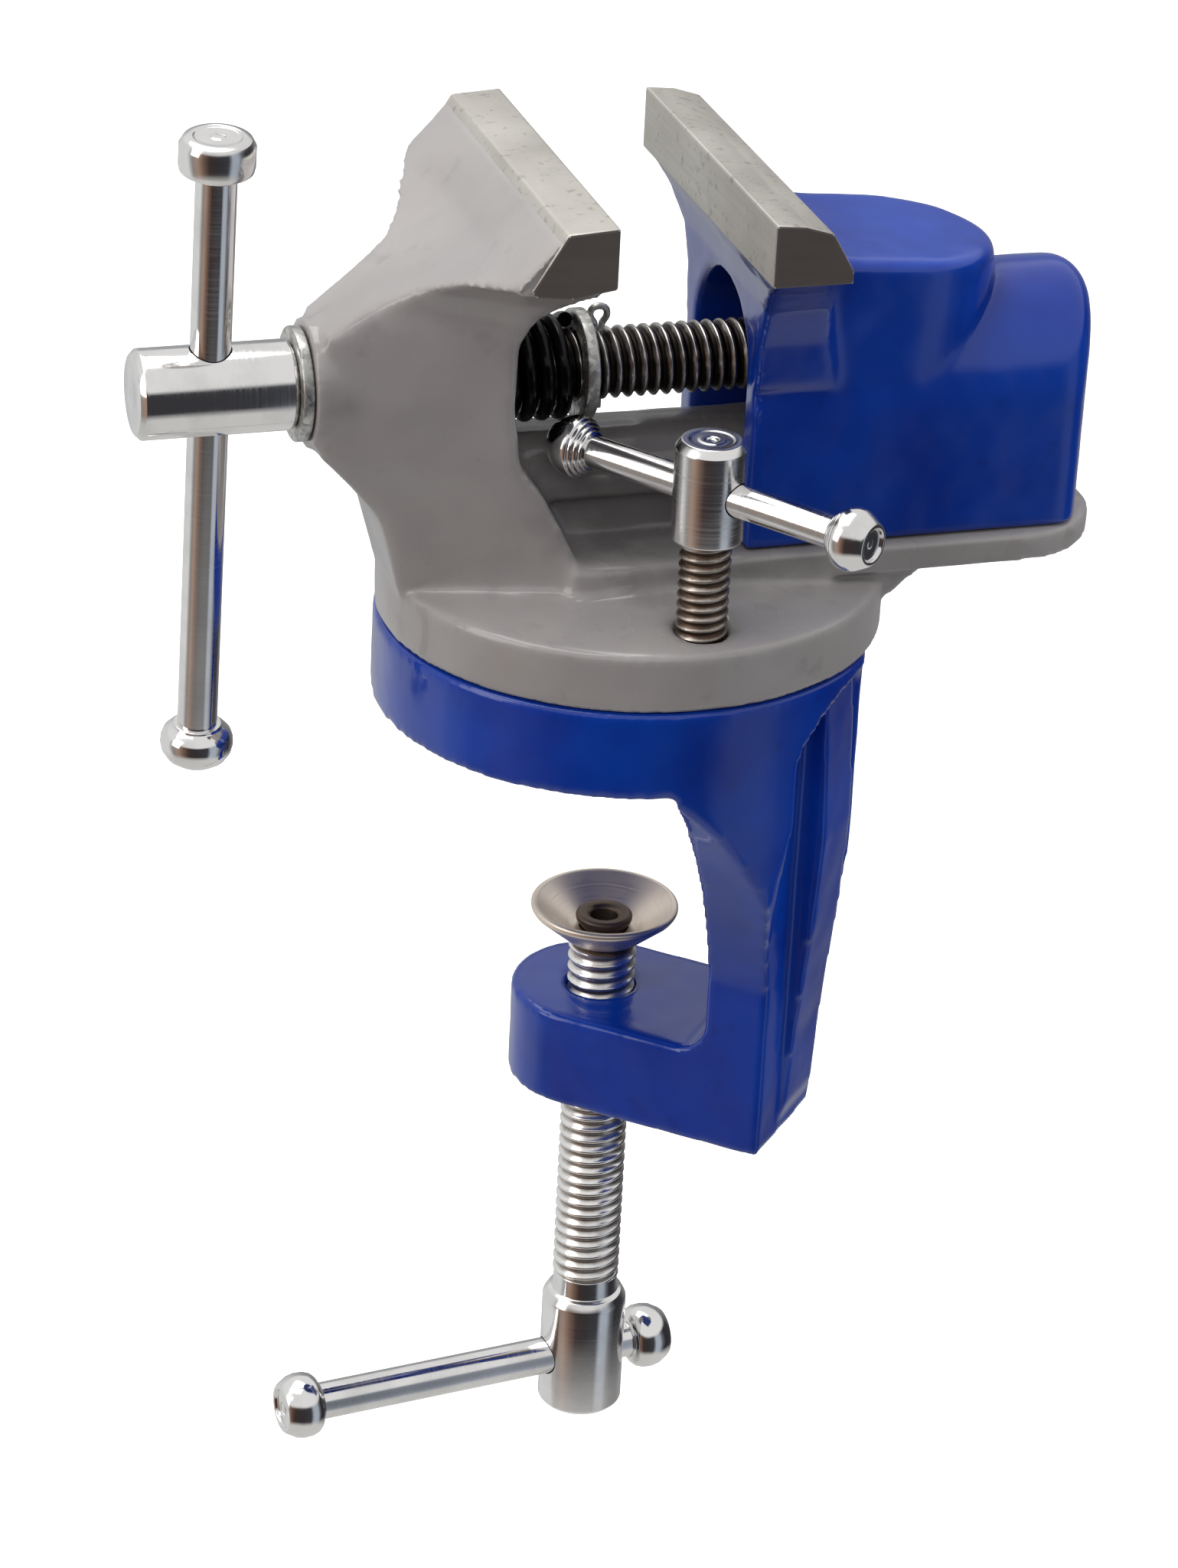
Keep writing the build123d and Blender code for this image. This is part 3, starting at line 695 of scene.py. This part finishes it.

# %% [markdown]
# ## Ground lips
# The lips are ground flat after casting, so their edges are crisp but not razor sharp. The CAD
# triangles are dissolved back into flat faces, and a two-step bevel breaks each edge. The sawn
# ends are darker, partly from their own rougher finish and partly as painted shade: every face
# turned sideways gets the dark iron. The fixed lip's sloping back is painted, so the bare lip is
# shaved there a little, from its top back edge down, and the enamel lies over it.


# %% Ground lips
def lip(name, node, body, cut=None):
    made = merged_copy(node)
    bmesh.ops.dissolve_limit(made, angle_limit=math.radians(4), verts=made.verts, edges=made.edges)
    if cut:
        (x, z), (away_x, away_z) = cut
        bmesh.ops.bisect_plane(made, geom=made.verts[:] + made.edges[:] + made.faces[:], clear_outer=True,
                               plane_co=(x * MM, 0, z * MM), plane_no=(away_x, 0, away_z), dist=1e-6)
        bmesh.ops.holes_fill(made, edges=[e for e in made.edges if e.is_boundary], sides=0)
    edges = [e for e in made.edges if e.calc_face_angle(0) > math.radians(12)]
    bmesh.ops.bevel(made, geom=edges, offset=0.3 * MM, offset_type="OFFSET", segments=2, profile=0.5,
                    affect="EDGES", clamp_overlap=True, material=-1)
    bmesh.ops.recalc_face_normals(made, faces=made.faces)
    piece = finish_piece(as_object(name, made), ground_iron, body, "ground_iron", node, sharp=25.0)
    piece.data.materials.append(sawn_and_shaded_iron)
    # faces turned sideways get the dark iron: partly the sawn finish, partly painted shade
    for face in piece.data.polygons:
        face.material_index = int(abs(face.normal.y) > 0.9)
    return piece


lip("fixed_lip", "fixed_jaw_lip", "vise", cut=((-17.5, 69.3), (-0.853, 0.522)))
lip("moving_lip", "moving_jaw_lip", "jaw")

# %% [markdown]
# ## Lead screw
# The head is a plain barrel with a hole for its bar, and the shaft is threaded from the head
# to its end. Head and thread are separate pieces of one body, because the head is bright and
# the thread is black with oil, and only the thread needs the many small faces.

# %% Lead screw
lead_metal = turned_steel("lead_head_steel", lead_point, X_AXIS)
lead_thread_metal = turned_steel("lead_thread_steel", lead_point, X_AXIS, (0.50, 0.47, 0.44), (0.16, 0.32),
                                 (3.95 * MM, 4.32 * MM, (0.018, 0.014, 0.012)))
LEAD_HEAD_END = -43.0
THREAD_RADIUS, PITCH, BAR_HOLE = 4.35, 1.6, 2.55
head_length = LEAD_HEAD_END - lead_low.x / MM
head_outline = [(0, 0.12), (1.1, 0.12), (1.3, 0), (4.7, 0), (5.4, 0.7), (5.4, head_length - 0.5),
                (5.0, head_length), (0, head_length)]
lead_head_foot = Vector((lead_low.x, 0, lead_point.z))
lead_head = as_object("lead_head", laid(spun(head_outline, soften=0.18), lead_head_foot, X_AXIS))
drilled(lead_head, middle("lead_bar_knob") + lead_bar_way * 43.0 * MM, lead_bar_way, BAR_HOLE)
finish_piece(lead_head, lead_metal, "lead_screw", "bright_steel", "lead_screw")
shaft_start = Vector(((LEAD_HEAD_END - 0.3) * MM, 0, lead_point.z))
shaft_length = (lead_high.x - shaft_start.x) / MM
lead_thread = as_object("lead_thread", laid(thread(THREAD_RADIUS, 0.62, PITCH, shaft_length),
                                            shaft_start, X_AXIS))
finish_piece(lead_thread, lead_thread_metal, "lead_screw", "bright_steel", sharp=50.0)

# %% [markdown]
# ## Washers, spring and split pin
# A coil spring pushes the screw's collar against the jaw. The pin through the screw holds a
# washer against it. The spring is one wire circle spun with a rise, and the pin is two legs
# bent from one half-round wire, which a bent curve with a round section follows.


# %% Washers and spring
def ring(name, node, inner, outer, thickness, finish, slot):
    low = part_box(node)[0]
    outline = [(inner, 0), (outer, 0), (outer, thickness), (inner, thickness), (inner, 0)]
    piece = as_object(name, laid(spun(outline, soften=0.22), Vector((low.x, 0, lead_point.z)), X_AXIS))
    return finish_piece(piece, finish, "lead_screw", slot, node)


ring("front_washer_ring", "front_washer", 4.42, 6.85, 1.33, galvanised, "galvanised")
ring("spring_washer_ring", "spring_washer", 4.42, 6.75, 1.6, galvanised, "galvanised")

WIRE = 0.93
spring_low, spring_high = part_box("jaw_spring")
spring_length = (spring_high.x - spring_low.x) / MM
rise = 2.14
turns = (spring_length - 2 * WIRE) / rise
spring_start = Vector((spring_low.x + WIRE * MM, 0, lead_point.z))
spring = as_object("coil_spring", laid(coil(6.45 - WIRE, WIRE, rise, turns), spring_start, X_AXIS))
finish_piece(spring, black_spring, "lead_screw", "black_spring", "jaw_spring", sharp=50.0)


# %% Split pin
def bent_wire(name, points, radius):
    curve = bpy.data.curves.new(name, "CURVE")
    curve.dimensions = "3D"
    curve.bevel_depth, curve.bevel_resolution, curve.use_fill_caps = radius * MM, 4, True
    line = curve.splines.new("NURBS")
    line.points.add(len(points) - 1)
    for target, point in zip(line.points, points):
        target.co = (*(Vector(point) * MM), 1)
    line.order_u, line.use_endpoint_u = 4, True
    drawn = bpy.data.objects.new(name, curve)
    scene.collection.objects.link(drawn)
    bpy.context.view_layer.update()
    data = bpy.data.meshes.new_from_object(drawn.evaluated_get(bpy.context.evaluated_depsgraph_get()))
    bpy.data.objects.remove(drawn)
    piece = bpy.data.objects.new(name, data)
    scene.collection.objects.link(piece)
    return piece


pin_middle = middle("split_pin")
pin_x, pin_z = pin_middle.x / MM, lead_point.z / MM
side = 0.42
pin_points = [(pin_x + side, 0, pin_z - 5.7), (pin_x + side, 0, pin_z - 3), (pin_x + side, 0, pin_z + 4.6),
              (pin_x + side, 0, pin_z + 5.2), (pin_x + 1.15, 0, pin_z + 5.9), (pin_x + 1.0, 0, pin_z + 7.0),
              (pin_x, 0, pin_z + 7.35), (pin_x - 1.0, 0, pin_z + 7.0), (pin_x - 1.15, 0, pin_z + 5.9),
              (pin_x - side, 0, pin_z + 5.2), (pin_x - side, 0, pin_z + 4.6), (pin_x - side, 0, pin_z - 3),
              (pin_x - side, 0, pin_z - 5.2)]
finish_piece(bent_wire("split_pin_wire", pin_points, side), galvanised, "lead_screw", "galvanised",
             "split_pin")

# %% [markdown]
# ## Tommy bars and knobs
# Each bar is a drawn rod with a turned knob pressed on either end. The knobs differ: a flat
# button, a mushroom, a barrel, and a small ball with turned steps whose end shows the rod.

# %% Knob outlines
BUTTON = [(0, 0), (3.2, 0), (3.5, 0.35), (4.3, 0.6), (4.45, 1.3), (4.45, 3.7), (4.0, 4.55),
          (3.4, 4.8), (2.9, 4.85), (2.7, 4.62), (0.9, 4.62), (0.7, 4.75), (0, 4.78)]
MUSHROOM = [(0, 0), (2.9, 0), (3.05, 0.35), (3.6, 0.7), (4.15, 1.3), (4.4, 2.0), (4.45, 2.8),
            (4.25, 3.7), (3.7, 4.6), (2.9, 5.2), (2.3, 5.45), (2.15, 5.3), (0.8, 5.3), (0.6, 5.42), (0, 5.45)]
BALL = [(0, 0), (2.45, 0), (2.6, 0.2), (2.6, 0.42), (2.95, 0.5), (3.05, 0.72), (3.05, 0.92),
        (3.4, 1.0), (3.5, 1.25), (3.5, 1.45), (3.8, 1.6), (3.9, 2.1), (3.9, 3.0), (3.65, 3.7),
        (2.75, 5.2), (2.5, 5.45), (2.2, 5.5), (2.05, 5.4), (1.9, 4.95), (0.6, 4.9), (0.4, 5.0), (0, 5.0)]
BARREL = [(0, 0), (2.7, 0), (2.9, 0.3), (3.6, 0.5), (4.05, 1.0), (4.35, 1.8), (4.4, 2.9),
          (4.2, 3.9), (3.5, 5.1), (3.2, 5.45), (2.8, 5.5), (2.6, 5.4), (2.45, 5.05), (0.9, 5.05),
          (0.7, 5.2), (0, 5.2)]


# %% Bars with their knobs
def bar_and_knobs(body, bar, radius, start, way, knobs):
    steel = turned_steel(bar + "_steel", start, way)
    far = middle(knobs[1][0])
    length = (far - start).length / MM
    rod_outline = [(0, 0), (radius, 0), (radius, length), (0, length)]
    rod = as_object(bar + "_rod", laid(spun(rod_outline, 48), start, way))
    finish_piece(rod, steel, body, "bright_steel", bar)
    for (node, outline, scale), direction in zip(knobs, (-way, way)):
        scaled = [(r * scale, z * scale) for r, z in outline]
        foot = middle(node) - direction * (scaled[-1][1] / 2 * MM + 0.1 * MM)
        knob = as_object(node + "_turned", laid(spun(scaled, 64, 0.1), foot, direction))
        finish_piece(knob, steel, body, "bright_steel", node, sharp=40.0)


bar_and_knobs("lead_bar", "lead_bar", 2.42, lead_bar_start, lead_bar_way,
              (("lead_bar_knob", MUSHROOM, 1.0), ("lead_bar_button", BUTTON, 1.0)))
bar_and_knobs("lock_bar", "lock_bar", 2.0, lock_bar_start, lock_bar_way,
              (("lock_bar_knob_left", BALL, 0.97), ("lock_bar_knob_right", BALL, 0.97)))
bar_and_knobs("clamp_bar", "clamp_bar", 2.42, clamp_bar_start, clamp_bar_way,
              (("clamp_bar_knob_left", BARREL, 0.97), ("clamp_bar_knob_right", BARREL, 0.97)))

# %% [markdown]
# ## Lock screw
# The lock screw stops the swivel. Its top shows the lathe's rings round a small centre dimple.

# %% Lock screw
lock_metal = turned_steel("lock_head_steel", lock_point, Z_AXIS, rough=(0.12, 0.24))
lock_thread_metal = turned_steel("lock_thread_steel", lock_point, Z_AXIS, (0.52, 0.47, 0.42), (0.2, 0.4),
                                 (2.8 * MM, 3.08 * MM, (0.11, 0.075, 0.055)))
head_foot = 30.4
lock_height = lock_high.z / MM - head_foot
lock_outline = [(0, 0), (3.9, 0), (4.3, 0.4), (4.3, lock_height - 1.0), (3.6, lock_height),
                (2.7, lock_height),
                (2.5, lock_height - 0.12), (1.7, lock_height - 0.12), (1.5, lock_height), (0.8, lock_height),
                (0.55, lock_height - 0.3), (0, lock_height - 0.35)]
lock_foot = Vector((lock_point.x, lock_point.y, head_foot * MM))
lock_head = as_object("lock_head", laid(spun(lock_outline, soften=0.15), lock_foot, Z_AXIS))
drilled(lock_head, middle("lock_bar"), lock_bar_way, 2.12)
finish_piece(lock_head, lock_metal, "lock_screw", "bright_steel", "lock_screw")
lock_thread_foot = Vector((lock_point.x, lock_point.y, lock_low.z))
lock_thread_length = head_foot + 0.3 - lock_low.z / MM
lock_thread = as_object("lock_thread", laid(thread(3.1, 0.42, 1.27, lock_thread_length), lock_thread_foot,
                                            Z_AXIS))
finish_piece(lock_thread, lock_thread_metal, "lock_screw", "bright_steel", sharp=50.0)

# %% [markdown]
# ## Clamp screw and its cup
# The screw presses a loose pressed-steel cup against the table's underside. Its hollow end is
# riveted over inside the cup, which is why the cup stays on and can still turn.

# %% Clamp screw
clamp_metal = turned_steel("clamp_head_steel", clamp_point, Z_AXIS)
clamp_thread_metal = turned_steel("clamp_thread_steel", clamp_point, Z_AXIS, (0.88, 0.86, 0.84), (0.12, 0.24),
                                  (3.75 * MM, 4.1 * MM, (0.36, 0.32, 0.29)))
clamp_bottom = clamp_low.z / MM
HEAD_TOP, NECK_TOP, THREAD_TOP = -87.5, -85.1, -36.0
clamp_outline = [(0, 0.25), (1.2, 0.25), (1.4, 0), (4.9, 0), (5.5, 0.6), (5.5, HEAD_TOP - clamp_bottom - 1.2),
                 (4.9, HEAD_TOP - clamp_bottom - 0.1), (4.25, HEAD_TOP - clamp_bottom + 0.1),
                 (4.15, NECK_TOP - clamp_bottom + 0.3), (0, NECK_TOP - clamp_bottom + 0.3)]
clamp_foot = Vector((clamp_point.x, clamp_point.y, clamp_low.z))
clamp_head = as_object("clamp_head", laid(spun(clamp_outline, soften=0.2), clamp_foot, Z_AXIS))
drilled(clamp_head, middle("clamp_bar_knob_left") + clamp_bar_way * 39.8 * MM, clamp_bar_way, BAR_HOLE)
finish_piece(clamp_head, clamp_metal, "clamp_screw", "bright_steel", "clamp_screw")
thread_foot = Vector((clamp_point.x, clamp_point.y, NECK_TOP * MM))
clamp_thread = as_object("clamp_thread", laid(thread(THREAD_RADIUS, 0.55, PITCH, THREAD_TOP - NECK_TOP),
                                              thread_foot, Z_AXIS))
finish_piece(clamp_thread, clamp_thread_metal, "clamp_screw", "bright_steel", sharp=50.0)

# %% Riveted stud and cup
rivet_steel = turned_steel("rivet_steel", clamp_point, Z_AXIS, (0.16, 0.12, 0.095), (0.3, 0.5))
stud_height = clamp_high.z / MM - THREAD_TOP
stud_outline = [(0, -0.3), (4.0, -0.3), (4.0, 0.9), (2.95, 1.0), (2.95, stud_height - 1.4),
                (3.55, stud_height - 1.0), (3.6, stud_height - 0.3), (3.2, stud_height),
                (2.2, stud_height - 0.1), (1.75, stud_height - 0.5), (1.6, stud_height - 2.2),
                (0, stud_height - 2.4)]
stud_foot = Vector((clamp_point.x, clamp_point.y, THREAD_TOP * MM))
stud = as_object("riveted_stud", laid(spun(stud_outline, soften=0.12), stud_foot, Z_AXIS))
finish_piece(stud, rivet_steel, "clamp_screw", "bright_steel")

cup_steel = turned_steel("cup_steel", clamp_point, Z_AXIS, (0.84, 0.74, 0.64), (0.30, 0.44))
cup_low, cup_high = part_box("clamp_pad")
deep = (cup_high.z - cup_low.z) / MM
cup_outline = [(3.1, 0), (4.9, 0), (5.5, 0.45), (9.1, deep - 1.1), (9.35, deep - 0.7), (9.35, deep - 0.25),
               (9.0, deep), (8.5, deep - 0.1), (4.6, 1.5), (4.1, 1.3), (3.1, 1.3), (3.1, 0)]
cup_foot = Vector((clamp_point.x, clamp_point.y, cup_low.z))
cup = as_object("clamp_cup", laid(spun(cup_outline, 96, soften=0.15), cup_foot, Z_AXIS))
finish_piece(cup, cup_steel, "clamp_pad", "zinc_plate", "clamp_pad")

# %% [markdown]
# ## Pivot bolt
# A hexagon bolt holds the disc on the seat ring from below, over a plain washer.

# %% Pivot bolt and washer
bolt_low, bolt_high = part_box("pivot_bolt")
hexagon = bmesh.new()
bmesh.ops.create_cone(hexagon, cap_ends=True, segments=6, radius1=6.5 * MM, radius2=6.5 * MM, depth=3.8 * MM)
bmesh.ops.bevel(hexagon, geom=hexagon.edges[:], offset=0.35 * MM, offset_type="OFFSET", segments=3,
                profile=0.5, affect="EDGES", clamp_overlap=True, material=-1)
bmesh.ops.translate(hexagon, vec=(0, 0, bolt_low.z + 1.9 * MM), verts=hexagon.verts)
finish_piece(as_object("pivot_hexagon", hexagon), zinc_plate, "vise", "zinc_plate", "pivot_bolt")
shank_low, shank_high = bolt_low.z / MM + 3.5, bolt_high.z / MM
shank_outline = [(0, shank_low), (4.0, shank_low), (4.0, shank_high), (0, shank_high)]
shank = as_object("pivot_shank", spun(shank_outline, 48, 0.3))
finish_piece(shank, zinc_plate, "vise", "zinc_plate")
washer_low, washer_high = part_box("pivot_washer")
washer_outline = [(4.05, washer_low.z / MM), (8.0, washer_low.z / MM), (8.0, washer_high.z / MM),
                  (4.05, washer_high.z / MM), (4.05, washer_low.z / MM)]
pivot_washer = as_object("pivot_washer_ring", spun(washer_outline, 64, 0.15))
finish_piece(pivot_washer, zinc_plate, "vise", "zinc_plate", "pivot_washer")
